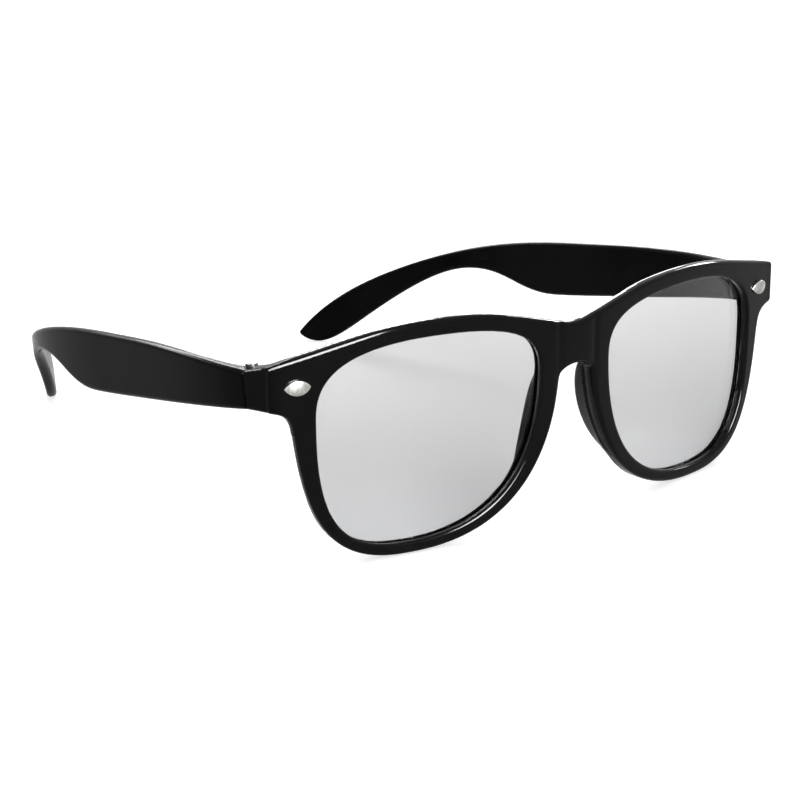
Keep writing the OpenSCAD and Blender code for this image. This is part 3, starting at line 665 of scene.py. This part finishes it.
# %% [markdown]
# ## The lenses
# A lens is cut to the opening's outline, grown by the depth of the groove, and lies on the
# same shallow arc as the face. Its shape is a rule, so Geometry Nodes make it: the outline
# is a closed pen curve, a short section line is swept round it, and one Set Position node
# draws each ring in towards the middle and lays it on the arc. Changing the curve or the
# modifier's inputs changes the lens.


# %% Outline curve of a lens
def outline_curve(name):
    curve = bpy.data.curves.new(name, "CURVE")
    curve.dimensions = "3D"
    curve.resolution_u = 32
    spline = curve.splines.new("BEZIER")
    spline.bezier_points.add(3)
    spline.use_cyclic_u = True
    for i, point in enumerate(spline.bezier_points):
        node = lens_nodes[i]
        point.handle_left_type = point.handle_right_type = "FREE"
        point.co = (*ahead(node, 0), 0)
        point.handle_left = (*ahead(node, -node[3]), 0)
        point.handle_right = (*ahead(node, node[4]), 0)
    return in_scene(name, curve)


# %% Short ways to add and link nodes
class Wiring:
    """A node tree, with short ways to add nodes to it and to feed them."""

    def __init__(self, tree):
        self.tree = tree

    def feed(self, node, sockets):
        """Gives a node's sockets plain values, or links outputs of other nodes to them."""
        for socket, value in sockets.items():
            if isinstance(value, bpy.types.NodeSocket):
                self.tree.links.new(value, node.inputs[socket])
            else:
                node.inputs[socket].default_value = value

    def add(self, kind, sockets=None, **settings):
        """Adds a node, sets it, feeds it and returns its outputs."""
        node = self.tree.nodes.new(kind)
        for key, value in settings.items():
            setattr(node, key, value)
        self.feed(node, sockets or {})
        return node.outputs

    def maths(self, operation, *values, clamp=False):
        return self.add("ShaderNodeMath", dict(enumerate(values)), operation=operation, use_clamp=clamp)[0]

    def scaled(self, vector, factor):
        return self.add("ShaderNodeVectorMath", {0: vector, "Scale": factor}, operation="SCALE")["Vector"]

    def spread(self, value, low, high, from_low=0.3, from_high=0.7):
        """Stretches the range from_low to from_high over low to high, and stops at both ends."""
        return self.add("ShaderNodeMapRange", {
            "Value": value, "From Min": from_low, "From Max": from_high,
            "To Min": low, "To Max": high})["Result"]


# %% Steps of the lens
LENS_LENGTHS = {"Thickness": LENS_T, "Inset": LENS_INSET, "Groove": GROOVE, "Face radius": FACE_R}
LENS_COUNTS = {"Points round": 200, "Rings": 44}
SIDE_SHARE, EDGE_SHARE = 0.47, 0.06  # of the section: each side of the lens, and its edge
WELD = 0.001


def keep(lens, geometry, kind, values):
    """Lets each point of a curve keep values of one kind, and returns the node's outputs."""
    node = lens.tree.nodes.new("GeometryNodeCaptureAttribute")
    for label in values:
        node.capture_items.new(kind, label)
    lens.feed(node, {"Geometry": geometry, **values})
    return node.outputs


def swept_outline(lens, given):
    """Sweeps a section line round the outline. Each point of the mesh keeps its place and
    its way on the outline, and its share of the way along the section."""
    even = lens.add("GeometryNodeResampleCurve", {
        "Curve": given["Outline"], "Count": given["Points round"]})
    on_outline = keep(lens, even["Curve"], "VECTOR", {
        "Place": lens.add("GeometryNodeInputPosition")[0], "Way": lens.add("GeometryNodeInputTangent")[0]})
    section = lens.add("GeometryNodeMeshLine", {"Offset": (1, 0, 0), "Count": given["Rings"]},
                       mode="END_POINTS")
    as_curve = lens.add("GeometryNodeMeshToCurve", {"Mesh": section["Mesh"]})
    along = keep(lens, as_curve["Curve"], "FLOAT", {
        "Share": lens.add("GeometryNodeSplineParameter")["Factor"]})
    swept = lens.add("GeometryNodeCurveToMesh", {
        "Curve": on_outline["Geometry"], "Profile Curve": along["Geometry"]})
    return swept["Mesh"], on_outline, along["Share"]


def flat_place(lens, given, on_outline, share):
    """A point's place in the flat pattern: from the middle out to the edge and back again."""
    out = lens.maths("MINIMUM", lens.maths("DIVIDE", share, SIDE_SHARE),
                     lens.maths("DIVIDE", lens.maths("SUBTRACT", 1.0, share), SIDE_SHARE))
    spin = lens.add("ShaderNodeVectorRotate", {"Angle": math.pi / 2, "Vector": on_outline["Way"]},
                    rotation_type="Z_AXIS")
    edge = lens.add("ShaderNodeVectorMath", {
        0: on_outline["Place"], 1: lens.scaled(spin["Vector"], given["Groove"])}, operation="ADD")
    flat = lens.add("ShaderNodeSeparateXYZ", {
        0: lens.scaled(edge["Vector"], lens.maths("MINIMUM", out, 1.0))})
    return flat["X"], flat["Y"]


def laid_on_arc(lens, given, across, up, share):
    """The point laid on the face's arc, or one thickness behind it on the lens's back."""
    back = lens.maths("DIVIDE", lens.maths("SUBTRACT", share, SIDE_SHARE), EDGE_SHARE, clamp=True)
    depth = lens.maths("ADD", given["Inset"], lens.maths("MULTIPLY", back, given["Thickness"]))
    radius = lens.maths("SUBTRACT", given["Face radius"], depth)
    chord = lens.maths("SQRT", lens.maths("SUBTRACT", lens.maths("MULTIPLY", radius, radius),
                                          lens.maths("MULTIPLY", across, across)))
    return lens.add("ShaderNodeCombineXYZ", {
        "X": across, "Y": lens.maths("SUBTRACT", given["Face radius"], chord), "Z": up})["Vector"]


# %% Node tree that turns an outline into a lens
def lens_tree(material):
    tree = bpy.data.node_groups.new("lens_from_outline", "GeometryNodeTree")
    tree.interface.new_socket("Outline", in_out="INPUT", socket_type="NodeSocketGeometry")
    sizes = {}
    for kind, values in (("NodeSocketFloat", LENS_LENGTHS), ("NodeSocketInt", LENS_COUNTS)):
        for label, value in values.items():
            socket = tree.interface.new_socket(label, in_out="INPUT", socket_type=kind)
            socket.default_value = value
            sizes[label] = socket.identifier
    tree.interface.new_socket("Lens", in_out="OUTPUT", socket_type="NodeSocketGeometry")
    lens = Wiring(tree)
    given = lens.add("NodeGroupInput")
    swept, on_outline, share = swept_outline(lens, given)
    across, up = flat_place(lens, given, on_outline, share)
    shape = lens.add("GeometryNodeSetPosition", {
        "Geometry": swept, "Position": laid_on_arc(lens, given, across, up, share)})
    weld = lens.add("GeometryNodeMergeByDistance", {"Geometry": shape["Geometry"], "Distance": WELD})
    real = lens.add("GeometryNodeRealizeInstances", {"Geometry": weld["Geometry"]})
    dressed = lens.add("GeometryNodeSetMaterial", {"Geometry": real["Geometry"], "Material": material})
    lens.add("NodeGroupOutput", {"Lens": dressed["Geometry"]})
    return tree, sizes


# %% [markdown]
# ## Finishes: a toolkit
# Every finish is a small node tree read from Object coordinates, so it stays put when the
# glasses turn. Moulded plastic is never perfectly even: its gloss drifts, it has a faint
# orange-peel ripple from the mould and fine rub marks from wear. One class wires noise into
# a shader's colour, roughness and bump, with scales given in features per metre.


# %% A finish to build on
class Finish(Wiring):
    """A material's wiring, with its shader and the coordinates that its noise is read from."""

    def __init__(self, name, base, roughness, **settings):
        self.material = bpy.data.materials.new(name)
        self.material.use_nodes = True
        super().__init__(self.material.node_tree)
        self.shader = self.tree.nodes["Principled BSDF"]
        settings = {key.replace("_", " "): value for key, value in settings.items()}
        self.dress({"Base Color": (*base, 1), "Roughness": roughness, **settings})
        self.coords = self.add("ShaderNodeTexCoord")["Object"]

    def dress(self, sockets):
        self.feed(self.shader, sockets)

    def place(self, axis):
        return self.add("ShaderNodeSeparateXYZ", {0: self.coords})[axis]

    def noise(self, scale, detail, stretch=(1, 1, 1)):
        mapped = self.add("ShaderNodeMapping", {"Scale": stretch, "Vector": self.coords})["Vector"]
        return self.add("ShaderNodeTexNoise", {"Scale": scale, "Detail": detail, "Vector": mapped})["Fac"]

    def tint(self, share, dark, light):
        mix = self.add("ShaderNodeMix", {"A": (*dark, 1), "B": (*light, 1), "Factor": share},
                       data_type="RGBA")
        self.dress({"Base Color": mix["Result"]})

    def roughen(self, value, low, high):
        self.dress({"Roughness": self.spread(value, low, high)})

    def bump(self, height, distance, strength):
        bumped = self.add("ShaderNodeBump", {"Strength": strength, "Distance": distance, "Height": height})
        self.dress({"Normal": bumped["Normal"]})


# %% [markdown]
# ## Black plastic, twice
# The front is polished: a deep black whose gloss varies only a little, and whose specular level drops
# where the end pieces' side walls begin, a painted shade that makes those walls mirror less and show
# darker. The temples have a softer, satin sheen, with fine rubbed grain that runs along them, so each gets
# a material of its own.

# %% Plastic of the front
# Painted shade: the side walls of the end pieces get a lower specular level, so they show darker than the
# face.
FACE_GLOSS, SHADED_SIDE_GLOSS = 0.115, 0.025
SIDE_SHADE_FROM, SIDE_SHADE_TO = 11.4, 12.8  # millimetres behind the foremost point
polished = Finish("front_black", (0.004, 0.004, 0.005), 0.1, IOR=1.46)
polished.tint(polished.spread(polished.noise(90, 3), 0, 1), (0.0028, 0.0028, 0.0036),
              (0.0062, 0.0062, 0.0072))
polished.roughen(polished.noise(260, 5), 0.05, 0.13)
polished.bump(polished.noise(420, 2), 0.00002, 0.35)
# Painted shade: the gloss falls from the face's level to the side walls' lower level behind the face.
gloss = polished.spread(polished.place("Y"), FACE_GLOSS, SHADED_SIDE_GLOSS,
                        cad_low.y + SIDE_SHADE_FROM * MM, cad_low.y + SIDE_SHADE_TO * MM)
polished.dress({"Specular IOR Level": gloss})
front.data.materials.append(polished.material)

# %% Plastic of the temples
satin = Finish("temple_black", (0.003, 0.003, 0.004), 0.2, Specular_IOR_Level=0.03, IOR=1.46)
satin.tint(satin.spread(satin.noise(60, 3), 0, 1), (0.0018, 0.0018, 0.0024), (0.0042, 0.0042, 0.0052))
rubbed = satin.noise(900, 4, stretch=(1, 0.08, 1))
satin.roughen(rubbed, 0.14, 0.24)
satin.bump(rubbed, 0.00002, 0.25)
for piece in (left_temple, right_temple):
    piece.data.materials.append(satin.material)

# %% [markdown]
# ## Clear lenses
# The lenses are clear, but a lens in front of a white sweep never looks quite white: its
# two faces and the plastic itself hold back some light. A thin coating weakens what the
# faces mirror, so the specular tint is low and black plastic behind the lens stays dark.
# The lens's colour is painted darker low down, a painted shade; a faint, slow drift makes its tone vary
# across the lens, and a trace of ripple keeps reflections alive.

# %% Material of the lenses
# Heights in metres over which the painted shade fades, from full low down to none higher up.
SHADE_FULL_BELOW, SHADE_GONE_ABOVE = 0.004, 0.042
clear = Finish("lens_clear", (0.62, 0.625, 0.63), 0.0, Transmission_Weight=1.0, IOR=1.49,
               Specular_Tint=(0.35, 0.35, 0.36, 1))
drift = clear.spread(clear.noise(14, 1), 0, 0.2)
# Painted shade: the lens's colour darkens towards the bottom.
painted_shade_by_height = clear.spread(clear.place("Z"), 0, 0.8, SHADE_FULL_BELOW, SHADE_GONE_ABOVE)
clear.tint(clear.maths("ADD", drift, painted_shade_by_height), (0.43, 0.432, 0.436), (0.77, 0.77, 0.772))
clear.roughen(clear.noise(300, 2), 0.0, 0.02)
clear.bump(clear.noise(40, 1), 0.00001, 0.15)

# %% Mesh of a lens
lens_group, lens_inputs = lens_tree(clear.material)
outline = outline_curve("lens_outline")
modifier = outline.modifiers.new("lens", "NODES")
modifier.node_group = lens_group
for label, value in {**LENS_LENGTHS, **LENS_COUNTS}.items():
    modifier[lens_inputs[label]] = value
bpy.context.view_layer.update()
ready = outline.evaluated_get(bpy.context.evaluated_depsgraph_get())
lens_mesh = bpy.data.meshes.new_from_object(ready)
outline.modifiers.clear()
bpy.data.objects.remove(outline)
print("lens:", len(lens_mesh.vertices), "points", len(lens_mesh.polygons), "faces")


# %% Make both lenses
def outward(mesh):
    """Turns the mesh's faces outwards if it encloses a negative volume."""
    volume = 0.0
    for face in mesh.polygons:
        a, b, c = (mesh.vertices[face.vertices[i]].co for i in (0, 1, 2))
        volume += a.dot((b - a).cross(c - a)) * len(face.vertices)
    if volume < 0:
        mesh.flip_normals()


on_face = (Matrix.Translation((arc_centre[0], arc_centre[1], lens_z))
           @ Matrix.Rotation(lens_turn, 4, "Z") @ Matrix.Translation((0, -FACE_R, 0)))
mirrored = Matrix.Scale(-1, 4, (1, 0, 0))
for side, placed in (("left", on_face), ("right", mirrored @ on_face)):
    mesh = lens_mesh.copy()
    mesh.name = side + "_clear_lens"
    mesh.transform(placed)
    centre = sum((v.co for v in mesh.vertices), Vector()) / len(mesh.vertices)
    mesh.transform(Matrix.Translation(-centre))
    outward(mesh)
    mesh.transform(STAND @ Matrix.Translation(centre))
    mesh.shade_smooth()
    mesh.set_sharp_from_angle(angle=math.radians(40))
    lens = in_scene(mesh.name, mesh)
    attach(lens, "front")
    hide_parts(side + "_lens")
    print(lens.name, "is centred at, m:", [round(v, 4) for v in STAND @ centre])

# %% [markdown]
# ## Metal: studs, hinges and screws
# The hinge parts and screws are exact solids already, so they stay as they are and only
# their finish changes. The studs are plated bright, with faint scratches. The screws are
# darker, and the hinges are stamped and burnished, rougher and lighter where they rub.


# %% Metal finishes
def metal(name, dark, light, smoothest, roughest, scale):
    """Metal with wear at one scale, scratches along Z three times finer, and finer bumps."""
    finish = Finish(name, light, smoothest, Metallic=1.0)
    finish.tint(finish.spread(finish.noise(scale, 4), 0, 1), dark, light)
    finish.roughen(finish.noise(scale * 3, 5, stretch=(1, 1, 0.2)), smoothest, roughest)
    finish.bump(finish.noise(scale * 4, 3), 0.000015, 0.3)
    return finish.material


stud_plated = metal("stud_plated", (0.31, 0.305, 0.29), (0.46, 0.455, 0.43), 0.2, 0.3, 700)
hinge_dark = metal("hinge_dark", (0.020, 0.020, 0.022), (0.06, 0.06, 0.065), 0.3, 0.5, 500)
screw_plated = metal("screw_plated", (0.05, 0.05, 0.052), (0.12, 0.12, 0.125), 0.25, 0.4, 900)
for stud in studs:
    stud.data.materials.append(stud_plated)
solid_metal = []
for node, material in (("front_hinge", hinge_dark), ("temple_hinge", hinge_dark),
                       ("hinge_screw", screw_plated)):
    for side in ("left", "right"):
        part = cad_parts[side + "_" + node]
        part.data.materials.clear()
        part.data.materials.append(material)
        solid_metal.append(part)
print("metal parts dressed:", len(studs), "studs and", len(solid_metal), "packed solids")

# %% [markdown]
# ## Camera
# The camera stands where the photographer's did: in front of the wearer's right, a little
# above. Its place is given by its turn, its height angle, a trace of roll, its distance and
# the pixel at which the middle of the bridge appears in a picture of 800 by 800.

# %% Set the camera
VIEW_TURN, VIEW_HEIGHT, VIEW_ROLL = -37.335, 17.264, -0.249
VIEW_DISTANCE, VIEW_FOCUS = 481.37, 2298.2
VIEW_X, VIEW_Y, VIEW_SIZE, SENSOR = 578.373, 344.102, 800.0, 36.0
turn, height, roll = (math.radians(v) for v in (VIEW_TURN, VIEW_HEIGHT, VIEW_ROLL))
back = Vector((math.sin(turn) * math.cos(height), -math.cos(turn) * math.cos(height), math.sin(height)))
right = (-back).cross(Vector((0, 0, 1))).normalized()
down = (-back).cross(right)
c, s = math.cos(roll), math.sin(roll)
eye_x, eye_y = c * right - s * down, s * right + c * down
offset_x = (VIEW_X - VIEW_SIZE / 2) / VIEW_FOCUS * VIEW_DISTANCE
offset_y = (VIEW_Y - VIEW_SIZE / 2) / VIEW_FOCUS * VIEW_DISTANCE
eye = -(offset_x * eye_x + offset_y * eye_y - VIEW_DISTANCE * back)
turned = Matrix((eye_x, -eye_y, back)).transposed().to_4x4()
placed = Matrix.Rotation(lean, 4, "X") @ turned
placed.translation = STAND @ eye
camera_data = bpy.data.cameras.new("camera")
camera_data.sensor_width = SENSOR
camera_data.lens = VIEW_FOCUS / VIEW_SIZE * SENSOR
camera_data.clip_start = 0.01
camera = in_scene("camera", camera_data)
camera.matrix_world = placed
bpy.context.scene.camera = camera
print("camera at, m:", [round(v, 4) for v in placed.translation], "lens, mm:", round(camera_data.lens, 2))

# %% [markdown]
# ## Stage and light
# A pale floor carries the shadow. To the eye, to glass and to metal it is white by
# itself, and the lamps only add the shadow's shape. Black gloss shows nothing but what it
# mirrors. So two soft boxes, key and top, give the plain light and aren't mirrored at all,
# and four more are seen only in the gloss, where each draws one line along a rounding: the
# back edge of the brow, its front edge, the near rim's inside and the end pieces' tops.


# %% Floor
FLOOR_REACH, FLOOR_GAP = 20.0, 0.0001


def seen_by(wiring, levels):
    """How brightly something shows to each kind of ray that looks at it. It lights nothing."""
    path = wiring.add("ShaderNodeLightPath")
    strength = 0.0
    for ray, level in levels.items():
        strength = wiring.maths("MAXIMUM", strength, wiring.maths("MULTIPLY", path[ray], level))
    return strength


def floor_material():
    pale = Finish("pale_floor", (0.6, 0.6, 0.6), 0.9, Specular_IOR_Level=0.0)
    levels = {"Is Camera Ray": 0.72, "Is Glossy Ray": 0.45, "Is Transmission Ray": 0.4}
    glow = pale.add("ShaderNodeEmission", {"Strength": seen_by(pale, levels)})
    both = pale.add("ShaderNodeAddShader", {0: pale.shader.outputs[0], 1: glow[0]})
    pale.feed(pale.tree.nodes["Material Output"], {"Surface": both[0]})
    return pale.material


floor_mesh = bpy.data.meshes.new("floor")
floor_corners = [(i * FLOOR_REACH, j * FLOOR_REACH, 0) for i, j in ((-1, -1), (1, -1), (1, 1), (-1, 1))]
floor_mesh.from_pydata(floor_corners, [], [(0, 1, 2, 3)])
floor_mesh.transform(Matrix.Translation((0, 0, cad_low.z - FLOOR_GAP)))
floor_mesh.materials.append(floor_material())
floor = in_scene("floor", floor_mesh)

# %% World
world = bpy.data.worlds.new("studio")
world.use_nodes = True
bpy.context.scene.world = world
sky = Wiring(world.node_tree)
looked_at = seen_by(sky, {"Is Camera Ray": 1.0, "Is Glossy Ray": 1.0, "Is Transmission Ray": 1.0})
sky.feed(sky.tree.nodes["Background"], {
    "Color": (1, 1, 1, 1), "Strength": sky.spread(looked_at, 0.5, 1.0, 0.0, 1.0)})


# %% Soft boxes
LIT_PLACE = Vector((0, -0.05, 0.03))


def soft_box(name, turn, height, width, depth, radiance, distance=0.8, in_gloss=True, in_shade=True):
    """A lamp, seen from the glasses at a turn from straight ahead and a height, in degrees.

    Its width and depth are angles too, so the size follows from the distance in metres."""
    a, e = math.radians(turn), math.radians(height)
    way = Vector((math.sin(a) * math.cos(e), -math.cos(a) * math.cos(e), math.sin(e)))
    data = bpy.data.lights.new(name, "AREA")
    data.shape = "RECTANGLE"
    data.size = 2 * distance * math.tan(math.radians(width / 2))
    data.size_y = 2 * distance * math.tan(math.radians(depth / 2))
    data.energy = radiance * math.pi * data.size * data.size_y
    lamp = in_scene(name, data)
    lamp.location = way * distance + LIT_PLACE
    lamp.rotation_euler = way.to_track_quat("Z", "Y").to_euler()
    lamp.visible_camera = False
    lamp.visible_glossy = in_gloss
    lamp.visible_diffuse = in_shade
    lamp.visible_transmission = False


soft_box("key_box", 158, 31, 28, 20, 9, in_gloss=False)
soft_box("back_box", 171, 25, 54, 8, 24, in_shade=False)
soft_box("top_box", 0, 88, 34, 34, 1.0, in_gloss=False)
soft_box("front_strip", -9, 26, 24, 44, 110, in_shade=False)
soft_box("right_strip", 106, 30, 22, 8, 70, in_shade=False)
soft_box("low_back_strip", 143, 7, 18, 10, 8, in_shade=False)

# %% [markdown]
# ## Finish
# Standard colours keep every tone as written.

# %% Colours and sizes
bpy.context.scene.view_settings.view_transform = "Standard"
